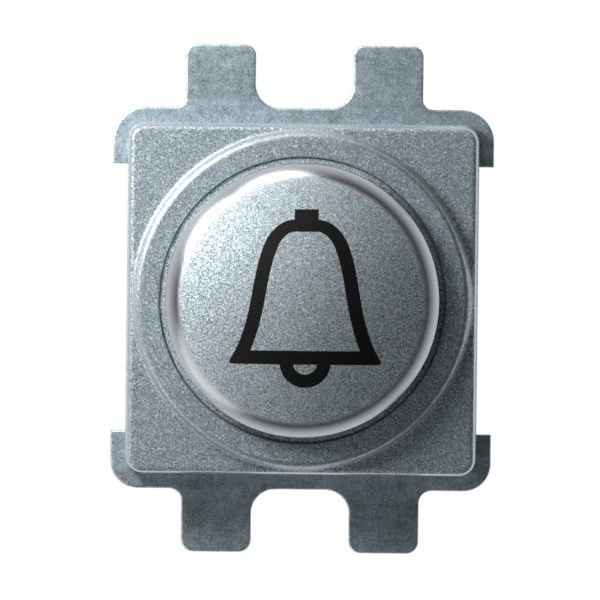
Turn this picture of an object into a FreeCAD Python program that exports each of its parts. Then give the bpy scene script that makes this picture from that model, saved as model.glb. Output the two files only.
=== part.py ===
import FreeCAD, Part
import math
import os

from FreeCAD import Vector

# Doorbell push button for a door station: a square metal block with a round boss and a domed
# button, a lug plate that bears on the back of the station's front panel, and a switch behind.
# Millimetres. X is right, Z is up, the front looks along -Y. The origin is on the button's
# axis, in the plane where the lug plate's front face meets the back of the panel.

# Front block
block_width = 22.0          # at its back
block_corner = 1.1
block_draft = 0.12          # how much each side leans in by the front
block_reach = 3.2           # front face ahead of the panel's back
block_edge_round = 0.3
block_face_wall = 1.2       # metal between the front face and the shoulder that holds the button
block_side_wall = 1.05      # thinnest metal beside the round pocket

# Raised boss round the button
boss_margin = 0.45          # between the boss's foot and the block's sides
boss_height = 0.75
boss_wall = 1.52            # ring width at its front
boss_draft = 0.08           # how much wider the boss is at its foot
boss_edge_round = 0.43
hole_edge_round = 0.12

# Button cap
cap_gap = 0.07              # running gap between the cap's skirt and the block's hole
cap_wall = 0.8
ledge_width = 0.32
ledge_sink = 0.2            # ledge below the boss's front
ledge_round = 0.1
crown_radius = 19.0
dome_edge_round = 2.2
travel = 1.2

# Bell symbol, measured from its own axis and the button's axis
bell_shift = 0.22           # the symbol stands a little right of the cap's centre
bell_depth = 0.18
bell_stroke = 0.86
bell_crown_stroke = 0.74
bell_top = 5.07
bell_bottom = -3.95
bell_crown_flat = 0.85
bell_side = [(1.55, 4.85), (2.2, 4.28), (2.88, 2.8), (3.22, 1.3),
             (3.48, -0.2), (3.84, -1.7), (4.19, -2.7)]
bell_lip_half = 4.84
bell_lip_flare = 0.55       # sideways run for each unit down, where the side meets the lip
bell_lip_round = 0.15
knob_half_width = 0.75
knob_height = 0.66
clapper_radius = 1.6
clapper_stroke = 0.84
clapper_rise = 0.14         # the clapper's centre above the bell's bottom edge

# Carrier behind the cap
flange_gap = 0.35           # between the flange and the block's pocket
flange_thickness = 0.7
spigot_wall = 0.9
spigot_height = 1.4
spigot_fit = 0.03
column_radius = 2.0
dome_rest_gap = 0.02
rib_width = 0.9
key_length = 1.0
key_width = 2.0
key_gap = 0.15
key_angles = [45.0, 225.0]
stem_radius = 3.7
stem_length = 4.2
neck_radius = 2.4
neck_length = 1.4
spring_pocket_radius = 1.72

# Seal between the carrier's flange and the block's shoulder
seal_thickness = 0.5
seal_inner_gap = 0.2
seal_width = 0.5

# Lug plate
plate_thickness = 0.6
plate_inset = 0.1           # its sides stand back from the block's
strip_stand = 0.95          # how far the end strips stand out from the block
wing_stand = 0.92
wing_length = 3.58
wing_corners = [1.72, 2.05]         # lower end, upper end
lug_centre = 5.25
lug_width = 4.38
lug_length = 3.95
lug_corners = [0.78, 0.65]          # lower end, upper end
lug_outer_fillets = [0.8, 0.6]      # lower end, upper end
lug_inner_fillet = 1.5
plate_edge_round = 0.14
seat_depth = 0.1            # coined seat that locates the block
seat_gap = 0.05
pocket_gap = 0.05           # the plate's round opening outside the block's pocket

# Case screws, from behind into the block's corners
screw_inset = 2.1           # from the block's sides
screw_radius = 0.75
screw_fit = 0.02
screw_hole_gap = 0.15
screw_head_radius = 1.35
screw_head_height = 0.85
screw_bite = 2.1            # thread length inside the block
screw_hole_spare = 0.3
drive_width = 0.36
drive_length = 1.7
drive_depth = 0.45

# Switch base
base_rim = 0.05             # outside the case screws' heads
base_corner = 1.0
base_plate_thickness = 1.8
stop_rim_gap = 0.06         # round the stop rim, inside the plate's opening
stop_rim_width = 2.24
stop_gap = 0.02
head_clearance = 0.28       # between the body's corners and the case screws' heads
cup_wall = 1.1
cup_floor = 8.4             # inner face of the floor, behind the panel's back
floor_thickness = 1.4
shroud_depth = 4.3
shroud_wall = 1.1
barrier_thickness = 1.0
guide_gap = 0.06
guide_wall = 1.04
guide_start = 1.4
guide_slot_width = 4.4
post_radius = 1.12
post_height = 1.5
post_taper = 0.25
ledge_lip = 0.5             # ledge inside the end of its contact
ledge_front = 6.7
ledge_top = 2.1
ledge_drop = 2.3            # ledge below the terminal screw
wire_hole_radius = 0.9
wire_hole_inset = 0.5       # from the inner end of the terminal pad

# Return spring
spring_wire = 0.32
spring_radius = 1.42
spring_turns = 7

# Contacts
strip_thickness = 0.5
strip_half_width = 1.5
strip_bend = 0.25
strip_slot_gap = 0.05
strip_arm = 2.5
strip_wall_gap = 0.35       # between the contact's leg and the cup's wall
bridge_thickness = 0.5
bridge_width = 3.2
bridge_hub_radius = 3.4
bridge_margin = 1.0         # bridge beyond its tips' centres
bridge_fit = 0.04
tip_inset = 1.4             # from the outer face of the contact's leg
tip_radius = 0.8
tip_height = 0.6
tip_edge_chamfer = 0.15
tip_shank_radius = 0.4
tip_tail_radius = 0.6
tip_tail_height = 0.25
tip_tail_gap = 0.1
contact_gap_closed = 0.02

# Retaining ring on the carrier's neck
ring_thickness = 0.4
ring_radius = 3.1
ring_groove_depth = 0.3
ring_fit = 0.02
ring_mouth = 3.0

# Terminals on the rear
terminal_inset = 2.05       # from the outer face of the contact's leg
terminal_rise = 2.6         # above the pad's lower end
pad_length = 4.45
pad_wall_gap = 2.4          # below the pad, inside the shroud
clamp_thickness = 0.5
clamp_half_width = 1.9
clamp_corner = 0.3
terminal_radius = 1.2
terminal_fit = 0.02
terminal_hole_gap = 0.12
terminal_head_radius = 1.75
terminal_head_height = 1.2
terminal_head_chamfer = 0.25
terminal_bite = 2.4
terminal_slot_width = 0.5
terminal_slot_depth = 0.6

# Widths and radii that follow from the sizes above
block_half = block_width / 2
boss_foot_radius = block_half - boss_margin
boss_top_radius = boss_foot_radius - boss_draft
hole_radius = boss_top_radius - boss_wall
cap_radius = hole_radius - cap_gap
dome_radius = cap_radius - ledge_width
pocket_radius = block_half - block_side_wall
flange_radius = pocket_radius - flange_gap
key_reach = flange_radius + key_length
plate_half_width = block_half - plate_inset
plate_opening = pocket_radius + pocket_gap
strip_reach = block_half + strip_stand
wing_reach = block_half + wing_stand
wing_start = strip_reach - wing_length
lug_end = strip_reach + lug_length
screw_offset = block_half - screw_inset
base_half_width = screw_offset + screw_head_radius + base_rim
cup_radius = plate_opening - stop_rim_gap - stop_rim_width
body_half_width = cup_radius + cup_wall
body_diagonal = screw_offset * math.sqrt(2) - screw_head_radius - head_clearance
body_corner = (body_half_width * math.sqrt(2) - body_diagonal) / (math.sqrt(2) - 1)
strip_outer_face = cup_radius - strip_wall_gap
strip_inner_end = strip_outer_face - strip_arm
ledge_inner = strip_inner_end - ledge_lip
tip_centre = strip_outer_face - tip_inset
bridge_end = tip_centre + bridge_margin
terminal_x = strip_outer_face - terminal_inset
pad_inner = strip_outer_face - pad_length
pad_bottom = pad_wall_gap + shroud_wall - body_half_width
terminal_z = pad_bottom + terminal_rise
ledge_bottom = terminal_z - ledge_drop
wire_hole_x = pad_inner + wire_hole_inset

# Places along Y that follow
block_front = -block_reach
boss_front = block_front - boss_height
shoulder = block_front + block_face_wall
cap_ledge = boss_front + ledge_sink
dome_angle = math.asin((dome_radius - dome_edge_round) / (crown_radius - dome_edge_round))
dome_height = crown_radius - (crown_radius - dome_edge_round) * math.cos(dome_angle)
dome_apex = cap_ledge - dome_height
crown_centre = dome_apex + crown_radius
flange_front = shoulder + seal_thickness
flange_back = flange_front + flange_thickness
stem_end = flange_back + stem_length
neck_end = stem_end + neck_length
plate_back = plate_thickness
stop_face = flange_back + travel + stop_gap
base_back = plate_back + base_plate_thickness
cup_back = cup_floor + floor_thickness
shroud_back = cup_back + shroud_depth
guide_radius = stem_radius + guide_gap
bridge_back = stem_end + bridge_thickness
fixed_tip_front = bridge_back + tip_height + travel + contact_gap_closed
strip_front = ledge_front - strip_thickness
pad_back = cup_back + strip_thickness
clamp_back = pad_back + clamp_thickness

axis_y = Vector(0, 1, 0)


def disc(radius, start, end, x=0.0, z=0.0):
    """Round bar along Y between two places."""
    return Part.makeCylinder(radius, end - start, Vector(x, start, z), axis_y)


def ring(inner, outer, start, end, x=0.0, z=0.0):
    """Round tube along Y."""
    return disc(outer, start, end, x, z).cut(disc(inner, start, end, x, z))


def block(x_range, y_range, z_range):
    """Rectangular block from its three ranges."""
    size = [high - low for low, high in (x_range, y_range, z_range)]
    return Part.makeBox(size[0], size[1], size[2], Vector(x_range[0], y_range[0], z_range[0]))


def edges_along_y(solid, places):
    """The straight edges along Y that stand at the given (x, z) places."""
    found = []
    for edge in solid.Edges:
        box = edge.BoundBox
        if box.XLength < 1e-4 and box.ZLength < 1e-4 and box.YLength > 1e-3:
            for x, z in places:
                if abs(box.Center.x - x) < 1e-3 and abs(box.Center.z - z) < 1e-3:
                    found.append(edge)
    return found


def edges_in_plane(solid, y):
    """All the edges that lie in the plane at y."""
    return [e for e in solid.Edges if abs(e.BoundBox.YMin - y) < 1e-4 and abs(e.BoundBox.YMax - y) < 1e-4]


def circle_edges(solid, radius, y):
    """The edges that are circles of this radius about the Y axis, in the plane at y."""
    found = []
    for edge in edges_in_plane(solid, y):
        if isinstance(edge.Curve, Part.Circle) and abs(edge.Curve.Radius - radius) < 1e-4:
            found.append(edge)
    return found


def rounded_block(half, corner, start, end):
    """Square block about the Y axis with rounded long edges."""
    solid = block((-half, half), (start, end), (-half, half))
    corners = [(x, z) for x in (-half, half) for z in (-half, half)]
    return solid.makeFillet(corner, edges_along_y(solid, corners))


def corner_places():
    """The four case screws' places."""
    return [(x, z) for x in (-screw_offset, screw_offset) for z in (-screw_offset, screw_offset)]


def key_notches(outer, width, start, end):
    """Radial bars at the key angles, which stand for keys or, cut away, for their notches."""
    bars = []
    for angle in key_angles:
        bar = block((0, outer), (start, end), (-width / 2, width / 2))
        bar.rotate(Vector(0, 0, 0), axis_y, -angle)
        bars.append(bar)
    return bars


def square_wire(half, corner, y):
    """Outline of a rounded square about the Y axis, in the plane at y."""
    edges = edges_in_plane(rounded_block(half, corner, y, y + half), y)
    return Part.Wire(Part.__sortEdges__(edges))


def drafted_block():
    """The block's outside: straight in the plate's seat, then leaning in to the rounded front."""
    front = square_wire(block_half - block_draft, block_corner - block_draft, block_front)
    back = square_wire(block_half, block_corner, 0)
    body = Part.makeLoft([back, front], True, True)
    body = body.makeFillet(block_edge_round, edges_in_plane(body, block_front))
    return body.fuse(rounded_block(block_half, block_corner, 0, seat_depth))


def make_bezel():
    """Cast block with its raised boss, the button's hole, the pocket behind and the screw holes."""
    boss = Part.makeCone(boss_top_radius, boss_foot_radius, boss_height, Vector(0, boss_front, 0), axis_y)
    boss = boss.makeFillet(boss_edge_round, circle_edges(boss, boss_top_radius, boss_front))
    body = drafted_block().fuse(boss)
    body = body.cut(disc(hole_radius, boss_front, seat_depth))
    body = body.makeFillet(hole_edge_round, circle_edges(body, hole_radius, boss_front))
    body = body.cut(disc(pocket_radius, shoulder, seat_depth))
    for notch in key_notches(key_reach + key_gap, key_width + 2 * key_gap, shoulder, seat_depth):
        body = body.cut(notch.cut(disc(cap_radius, shoulder, seat_depth)))
    hole_end = seat_depth - screw_bite - screw_hole_spare
    for x, z in corner_places():
        body = body.cut(disc(screw_radius + screw_fit, hole_end, seat_depth, x, z))
    return body


def dome_profile(inset):
    """Edges of the dome's half section, inset from its outer face, from the apex to the rim."""
    crown = crown_radius - inset
    edge_radius = dome_edge_round - inset
    edge_centre = Vector(dome_radius - dome_edge_round, cap_ledge, 0)
    centre = Vector(0, crown_centre, 0)

    def crown_point(angle):
        return centre + Vector(crown * math.sin(angle), -crown * math.cos(angle), 0)

    def edge_point(angle):
        return edge_centre + Vector(edge_radius * math.sin(angle), -edge_radius * math.cos(angle), 0)

    middle = (dome_angle + math.pi / 2) / 2
    return [
        Part.Arc(crown_point(0), crown_point(dome_angle / 2), crown_point(dome_angle)).toShape(),
        Part.Arc(edge_point(dome_angle), edge_point(middle), edge_point(math.pi / 2)).toShape(),
    ]


def dome_solid(inset, back):
    """The dome as a full solid, inset from its outer face and carried straight back."""
    edges = dome_profile(inset)
    apex = edges[0].valueAt(edges[0].FirstParameter)
    rim = edges[1].valueAt(edges[1].LastParameter)
    edges.append(Part.makeLine(rim, Vector(rim.x, back, 0)))
    edges.append(Part.makeLine(Vector(rim.x, back, 0), Vector(0, back, 0)))
    edges.append(Part.makeLine(Vector(0, back, 0), apex))
    return Part.Face(Part.Wire(edges)).revolve(Vector(0, 0, 0), axis_y, 360)


def bell_side_curve(inset):
    """The bell's right side from crown to lip, moved inwards at right angles, less at the crown."""
    points = [(bell_crown_flat, bell_top)] + bell_side + [(bell_lip_half, bell_bottom)]
    lip_tangent = Vector(bell_lip_flare, 0, -1).normalize()
    curve = Part.BSplineCurve()
    curve.interpolate(Points=[Vector(x, 0, z) for x, z in points], InitialTangent=Vector(1, 0, 0),
                      FinalTangent=lip_tangent, Scale=False)
    if inset == 0:
        return curve
    steps = 2 * len(points)
    span = curve.LastParameter - curve.FirstParameter
    inner_points = []
    for step in range(steps + 1):
        place = curve.FirstParameter + span * step / steps
        along = curve.tangent(place)[0]
        crown_share = max(0, 1 - 4 * step / steps)
        depth = inset + (bell_crown_stroke - inset) * crown_share
        inner_points.append(curve.value(place) + Vector(along.z, 0, -along.x) * depth)
    inner = Part.BSplineCurve()
    inner.interpolate(inner_points)
    return inner


def bell_body(inset, start, end):
    """Prism of the bell's outline: flat crown, flaring sides and straight lip."""
    curve = bell_side_curve(inset)
    right = curve.toShape()
    left = right.mirror(Vector(0, 0, 0), Vector(1, 0, 0))
    top = curve.value(curve.FirstParameter)
    foot = curve.value(curve.LastParameter)
    crown = Part.makeLine(Vector(-top.x, 0, top.z), top)
    lip = Part.makeLine(foot, Vector(-foot.x, 0, foot.z))
    face = Part.Face(Part.Wire(Part.__sortEdges__([crown, right, lip, left])))
    face.translate(Vector(0, start, 0))
    prism = face.extrude(Vector(0, end - start, 0))
    limit = block((-2 * foot.x, 2 * foot.x), (start, end), (bell_bottom + inset, bell_top))
    return prism.common(limit)


def bell_prism():
    """The bell symbol as a prism through the dome: outlined bell, knob and half ring below."""
    start = dome_apex - bell_depth
    end = cap_ledge
    prism = bell_body(0, start, end)
    lip_corners = [(-bell_lip_half, bell_bottom), (bell_lip_half, bell_bottom)]
    prism = prism.makeFillet(bell_lip_round, edges_along_y(prism, lip_corners))
    prism = prism.cut(bell_body(bell_stroke, start, end))
    knob = block((-knob_half_width, knob_half_width), (start, end),
                 (bell_top - bell_crown_stroke / 2, bell_top + knob_height))
    clapper_z = bell_bottom + clapper_rise
    clapper = ring(clapper_radius - clapper_stroke, clapper_radius, start, end, 0, clapper_z)
    below = block((-clapper_radius, clapper_radius), (start, end),
                  (clapper_z - 2 * clapper_radius, bell_bottom + bell_stroke / 4))
    prism = prism.fuse([knob, clapper.common(below)]).removeSplitter()
    prism.translate(Vector(bell_shift, 0, 0))
    return prism


def make_bell_inlay():
    """Black filling of the engraved bell, flush with the dome."""
    return bell_prism().common(dome_solid(0, flange_front)).cut(dome_solid(bell_depth, flange_front))


def make_push_cap():
    """Domed shell with a narrow ledge and a skirt, engraved for the bell."""
    body = dome_solid(0, flange_front)
    body = body.fuse(disc(cap_radius, cap_ledge, flange_front)).removeSplitter()
    body = body.makeFillet(ledge_round, circle_edges(body, cap_radius, cap_ledge))
    inside = dome_solid(cap_wall, flange_front)
    inside = inside.fuse(disc(cap_radius - cap_wall, cap_ledge, flange_front)).removeSplitter()
    engraving = bell_prism().cut(dome_solid(bell_depth, flange_front))
    return body.cut(inside).cut(engraving)


def make_cap_carrier():
    """Plunger moulding: flange with two keys, spigot in the cap, column, ribs and hollow stem."""
    spigot_outer = cap_radius - cap_wall - spigot_fit
    spigot_inner = spigot_outer - spigot_wall
    spigot_front = flange_front - spigot_height
    body = disc(flange_radius, flange_front, flange_back)
    body = body.fuse(key_notches(key_reach, key_width, flange_front, flange_back))
    body = body.fuse(ring(spigot_inner, spigot_outer, spigot_front, flange_front))
    inner_crown = crown_radius - cap_wall
    column_front = crown_centre - math.sqrt(inner_crown ** 2 - column_radius ** 2) + dome_rest_gap
    body = body.fuse(disc(column_radius, column_front, flange_front))
    rib_front = column_front + column_radius
    corners = [Vector(0, rib_front, 0), Vector(column_radius, rib_front, 0),
               Vector(spigot_inner, spigot_front, 0), Vector(spigot_inner, flange_front, 0),
               Vector(0, flange_front, 0)]
    rib_face = Part.Face(Part.makePolygon(corners + corners[:1]))
    for turn in range(4):
        web = rib_face.extrude(Vector(0, 0, rib_width))
        web.translate(Vector(0, 0, -rib_width / 2))
        web.rotate(Vector(0, 0, 0), axis_y, 90 * turn)
        body = body.fuse(web)
    body = body.fuse(disc(stem_radius, flange_back, stem_end))
    body = body.fuse(disc(neck_radius, stem_end, neck_end)).removeSplitter()
    body = body.cut(disc(spring_pocket_radius, flange_back, neck_end))
    groove_radius = neck_radius - ring_groove_depth
    return body.cut(ring(groove_radius, neck_radius, bridge_back, bridge_back + ring_thickness))


def make_sealing_ring():
    """Flat rubber ring on the carrier's flange, against the block's shoulder."""
    inner = cap_radius + seal_inner_gap
    return ring(inner, inner + seal_width, shoulder, flange_front)


def plate_outline():
    """Outline of the lug plate: side bands, end strips with wings and four lugs."""
    def slab(half_x, low, high, x=0.0):
        return block((x - half_x, x + half_x), (0, plate_thickness), (low, high))

    body = slab(plate_half_width, -strip_reach, strip_reach)
    parts = []
    for side in (-1, 1):
        low, high = sorted((side * wing_start, side * strip_reach))
        parts.append(slab(wing_reach, low, high))
        for lug_side in (-1, 1):
            low, high = sorted((side * wing_start, side * lug_end))
            parts.append(slab(lug_width / 2, low, high, lug_side * lug_centre))
    body = body.fuse(parts).removeSplitter()
    outer_side = lug_centre + lug_width / 2
    inner_side = lug_centre - lug_width / 2
    inner_fillets = [lug_inner_fillet, lug_inner_fillet]
    roundings = [(wing_reach, strip_reach, wing_corners), (outer_side, lug_end, lug_corners),
                 (inner_side, lug_end, lug_corners), (outer_side, strip_reach, lug_outer_fillets),
                 (inner_side, strip_reach, inner_fillets)]
    for x, z, radii in roundings:
        for end, radius in zip((-1, 1), radii):
            places = [(-x, end * z), (x, end * z)]
            body = body.makeFillet(radius, edges_along_y(body, places))
    return body


def make_lug_plate():
    """Pressed plate whose lugs bear on the panel's back, with the coined seat for the block."""
    body = plate_outline()
    body = body.makeFillet(plate_edge_round, edges_in_plane(body, 0))
    seat = rounded_block(block_half + seat_gap, block_corner + seat_gap, -plate_thickness, seat_depth)
    body = body.cut(seat)
    body = body.cut(disc(plate_opening, 0, plate_thickness))
    reach = key_reach + key_gap + pocket_gap
    body = body.cut(key_notches(reach, key_width + 2 * (key_gap + pocket_gap), 0, plate_thickness))
    for x, z in corner_places():
        body = body.cut(disc(screw_radius + screw_hole_gap, 0, plate_thickness, x, z))
    return body


def make_switch_base():
    """Black moulding behind the plate: cup, stem guide, contact ledges and terminal shroud."""
    body = rounded_block(base_half_width, base_corner, plate_back, base_back)
    body = body.fuse(disc(plate_opening - stop_rim_gap, stop_face, plate_back))
    body = body.fuse(rounded_block(body_half_width, body_corner, base_back, shroud_back))
    cup = disc(cup_radius, stop_face, cup_floor)
    cup = cup.cut(guide_posts()).cut(contact_ledges())
    inner_half = body_half_width - shroud_wall
    shroud = rounded_block(inner_half, body_corner - shroud_wall, cup_back, shroud_back)
    half = barrier_thickness / 2
    barrier = block((-half, half), (cup_back, shroud_back), (-inner_half, inner_half))
    body = body.cut(cup).cut(shroud.cut(barrier)).removeSplitter()
    post = Part.makeCone(post_radius - post_taper, post_radius, post_height,
                         Vector(0, cup_floor - post_height, 0), axis_y)
    body = body.fuse(post)
    cuts = []
    for x, z in corner_places():
        cuts.append(disc(screw_radius + screw_hole_gap, plate_back, base_back, x, z))
    wire_y = pad_back + wire_hole_radius
    for side in (-1, 1):
        low, high = sorted((side * (strip_outer_face - strip_thickness - strip_slot_gap),
                            side * (strip_outer_face + strip_slot_gap)))
        half = strip_half_width + strip_slot_gap
        cuts.append(block((low, high), (strip_front, cup_back), (-half, half)))
        tail_end = ledge_front + tip_tail_height + tip_tail_gap
        cuts.append(disc(tip_tail_radius + tip_tail_gap, ledge_front, tail_end, side * tip_centre))
        hole_end = cup_back - terminal_bite - terminal_hole_gap
        screw_hole = terminal_radius + terminal_fit
        cuts.append(disc(screw_hole, hole_end, cup_back, side * terminal_x, terminal_z))
        wire_start = Vector(side * wire_hole_x, wire_y, -body_half_width - shroud_wall / 2)
        cuts.append(Part.makeCylinder(wire_hole_radius, 2 * shroud_wall, wire_start, Vector(0, 0, 1)))
    return body.cut(cuts)


def guide_posts():
    """Four standing quarters of a sleeve that guide the carrier's stem, open for the bridge."""
    sleeve = ring(guide_radius, guide_radius + guide_wall, guide_start, cup_floor)
    half = guide_slot_width / 2
    reach = guide_radius + guide_wall
    slots = [block((-reach, reach), (guide_start, cup_floor), (-half, half)),
             block((-half, half), (guide_start, cup_floor), (-reach, reach))]
    return sleeve.cut(slots)


def contact_ledges():
    """Two ledges in the cup that carry the fixed contacts and take the terminal screws."""
    wall = disc(cup_radius, ledge_front, cup_floor)
    right = block((ledge_inner, cup_radius), (ledge_front, cup_floor), (ledge_bottom, ledge_top))
    left = block((-cup_radius, -ledge_inner), (ledge_front, cup_floor), (ledge_bottom, ledge_top))
    return right.fuse(left).common(wall)


def make_return_spring():
    """Compression spring of half turns, each tilted to meet the next; its ends are ground flat."""
    rise = (cup_floor - flange_back) / spring_turns / 2
    halves = []
    for step in range(-1, 2 * spring_turns + 1):
        side = 1 if step % 2 == 0 else -1
        start = Vector(side * spring_radius, flange_back + step * rise, 0)
        centre = Vector(0, start.y + rise / 2, 0)
        wire = Part.Face(Part.Wire(Part.makeCircle(spring_wire / 2, start, Vector(0, 0, 1))))
        halves.append(wire.revolve(centre, Vector(0, 0, side).cross(start - centre), 180))
    coil = halves[0].fuse(halves[1:])
    return coil.common(disc(spring_radius + spring_wire, flange_back, cup_floor))


def make_contact_bridge():
    """Bronze bar with a round hub on the carrier's neck and a hole near each end."""
    half = bridge_width / 2
    bar = block((-bridge_end, bridge_end), (stem_end, bridge_back), (-half, half))
    ends = [(x, z) for x in (-bridge_end, bridge_end) for z in (-half, half)]
    bar = bar.makeFillet(half / 2, edges_along_y(bar, ends))
    bar = bar.fuse(disc(bridge_hub_radius, stem_end, bridge_back)).removeSplitter()
    bar = bar.cut(disc(neck_radius + bridge_fit, stem_end, bridge_back))
    for side in (-1, 1):
        bar = bar.cut(disc(tip_shank_radius, stem_end, bridge_back, side * tip_centre))
    return bar


def make_tip(x, head_start, head_end, strip_far):
    """Contact rivet: a flat head with a bevelled rim, a shank through its strip and a flat tail."""
    head_side = 1 if head_end > head_start else -1
    low, high = sorted((head_start, head_end))
    head = disc(tip_radius, low, high, x)
    rim = [e for e in edges_in_plane(head, head_end) if e.Length > tip_radius]
    head = head.makeChamfer(tip_edge_chamfer, rim)
    low, high = sorted((head_start, strip_far))
    shank = disc(tip_shank_radius, low, high, x)
    low, high = sorted((strip_far, strip_far - head_side * tip_tail_height))
    return head.fuse([shank, disc(tip_tail_radius, low, high, x)]).removeSplitter()


def make_fixed_contact(side):
    """Bent strip: arm on the ledge, leg through the floor and terminal pad on the rear."""
    outer = strip_outer_face
    leg_inner = outer - strip_thickness
    corners = [(strip_inner_end, strip_front), (outer, strip_front), (outer, pad_back),
               (pad_inner, pad_back), (pad_inner, cup_back), (leg_inner, cup_back),
               (leg_inner, ledge_front), (strip_inner_end, ledge_front)]
    points = [Vector(x, y, -strip_half_width) for x, y in corners]
    strip = Part.Face(Part.makePolygon(points + points[:1])).extrude(Vector(0, 0, 2 * strip_half_width))
    bends = []
    for edge in strip.Edges:
        box = edge.BoundBox
        if box.ZLength > strip_half_width and abs(box.Center.x - outer) < 1e-3:
            bends.append(edge)
    strip = strip.makeFillet(strip_bend + strip_thickness / 2, bends)
    pad = block((pad_inner, leg_inner), (cup_back, pad_back), (pad_bottom, strip_half_width))
    strip = strip.fuse(pad).removeSplitter()
    strip = strip.cut(disc(tip_shank_radius, strip_front, ledge_front, tip_centre))
    screw_hole = disc(terminal_radius + terminal_hole_gap, cup_back, pad_back, terminal_x, terminal_z)
    strip = strip.cut(screw_hole)
    if side < 0:
        strip = strip.mirror(Vector(0, 0, 0), Vector(1, 0, 0))
    return strip


def make_clamp(side):
    """Square clamp washer that presses a wire on the terminal pad."""
    x = side * terminal_x
    half = clamp_half_width
    body = block((x - half, x + half), (pad_back, clamp_back), (terminal_z - half, terminal_z + half))
    corners = [(x + dx, terminal_z + dz) for dx in (-half, half) for dz in (-half, half)]
    body = body.makeFillet(clamp_corner, edges_along_y(body, corners))
    return body.cut(disc(terminal_radius + terminal_hole_gap, pad_back, clamp_back, x, terminal_z))


def make_terminal_screws():
    """Two slotted screws that hold the clamps."""
    screws = []
    for side in (-1, 1):
        x = side * terminal_x
        head_end = clamp_back + terminal_head_height
        head = disc(terminal_head_radius, clamp_back, head_end, x, terminal_z)
        rim = [e for e in edges_in_plane(head, head_end) if e.Length > terminal_head_radius]
        head = head.makeChamfer(terminal_head_chamfer, rim)
        half_slot = terminal_slot_width / 2
        slot = block((x - terminal_head_radius, x + terminal_head_radius),
                     (head_end - terminal_slot_depth, head_end),
                     (terminal_z - half_slot, terminal_z + half_slot))
        shank = disc(terminal_radius, cup_back - terminal_bite, clamp_back, x, terminal_z)
        screws.append(head.cut(slot).fuse(shank).removeSplitter())
    return Part.makeCompound(screws)


def make_case_screws():
    """Four cross-recessed screws that hold base, plate and block together."""
    screws = []
    for x, z in corner_places():
        head_end = base_back + screw_head_height
        head = disc(screw_head_radius, base_back, head_end, x, z)
        rim = [e for e in edges_in_plane(head, head_end) if e.Length > screw_head_radius]
        head = head.makeChamfer(screw_head_height / 3, rim)
        half_width = drive_width / 2
        half_length = drive_length / 2
        cross = [block((x - half_length, x + half_length), (head_end - drive_depth, head_end),
                       (z - half_width, z + half_width)),
                 block((x - half_width, x + half_width), (head_end - drive_depth, head_end),
                       (z - half_length, z + half_length))]
        tip = seat_depth - screw_bite
        shank = disc(screw_radius, tip + screw_radius / 2, base_back, x, z)
        point = Part.makeCone(screw_radius / 2, screw_radius, screw_radius / 2, Vector(x, tip, z), axis_y)
        screws.append(head.cut(cross).fuse([shank, point]).removeSplitter())
    return Part.makeCompound(screws)


def make_retaining_ring():
    """Open spring ring in the neck's groove, which holds the bridge."""
    groove_radius = neck_radius - ring_groove_depth + ring_fit
    body = ring(groove_radius, ring_radius, bridge_back, bridge_back + ring_thickness)
    half = ring_mouth / 2
    mouth = block((-half, half), (bridge_back, bridge_back + ring_thickness), (-ring_radius, 0))
    return body.cut(mouth)


def build_nodes():
    nodes = {
        "bezel": make_bezel(),
        "push_cap": make_push_cap(),
        "bell_inlay": make_bell_inlay(),
        "cap_carrier": make_cap_carrier(),
        "sealing_ring": make_sealing_ring(),
        "lug_plate": make_lug_plate(),
        "switch_base": make_switch_base(),
        "return_spring": make_return_spring(),
        "contact_bridge": make_contact_bridge(),
        "retaining_ring": make_retaining_ring(),
        "terminal_screws": make_terminal_screws(),
        "case_screws": make_case_screws(),
    }
    for name, side in (("left", -1), ("right", 1)):
        x = side * tip_centre
        nodes["bridge_tip_" + name] = make_tip(x, bridge_back, bridge_back + tip_height, stem_end)
        nodes["fixed_tip_" + name] = make_tip(x, strip_front, fixed_tip_front, ledge_front)
        nodes["fixed_contact_" + name] = make_fixed_contact(side)
        nodes["wire_clamp_" + name] = make_clamp(side)
    return nodes


def main():
    os.makedirs("parts", exist_ok=True)
    for name, shape in build_nodes().items():
        shape.exportStep(os.path.join("parts", name + ".step"))
        box = shape.BoundBox
        print(name, "valid", shape.isValid(), "solids", len(shape.Solids),
              "volume", round(shape.Volume, 2), "x", round(box.XMin, 2), round(box.XMax, 2),
              "y", round(box.YMin, 2), round(box.YMax, 2), "z", round(box.ZMin, 2), round(box.ZMax, 2))


main()
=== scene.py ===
import bpy
import bmesh
import math
import numpy as np
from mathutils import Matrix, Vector


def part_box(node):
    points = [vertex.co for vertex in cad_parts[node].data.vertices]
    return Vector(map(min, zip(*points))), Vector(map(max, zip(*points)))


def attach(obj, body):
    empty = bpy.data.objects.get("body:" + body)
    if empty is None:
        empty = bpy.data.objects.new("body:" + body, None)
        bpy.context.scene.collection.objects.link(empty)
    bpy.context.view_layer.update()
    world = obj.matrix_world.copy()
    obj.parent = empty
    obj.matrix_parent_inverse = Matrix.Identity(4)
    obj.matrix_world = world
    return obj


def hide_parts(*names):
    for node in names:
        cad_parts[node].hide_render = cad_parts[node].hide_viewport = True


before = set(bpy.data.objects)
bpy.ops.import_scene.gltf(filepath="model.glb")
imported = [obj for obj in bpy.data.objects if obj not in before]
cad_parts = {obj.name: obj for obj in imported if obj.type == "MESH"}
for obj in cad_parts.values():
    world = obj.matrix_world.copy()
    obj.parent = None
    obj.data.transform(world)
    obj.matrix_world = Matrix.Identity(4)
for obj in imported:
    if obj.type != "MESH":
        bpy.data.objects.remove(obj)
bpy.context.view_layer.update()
scene = bpy.context.scene
scene.view_settings.view_transform = "Standard"

# Lengths are metres. The button's axis runs along Y and the front looks along -Y.
mm = 0.001
fineMerge = 1e-8    # for meshes that a boolean has cut


# Meshes

def weighNormals(piece):
    # Large flat faces keep their own normals, so the shading bends only on the roundings
    modifier = piece.modifiers.new("normals", "WEIGHTED_NORMAL")
    modifier.keep_sharp = True


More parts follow.
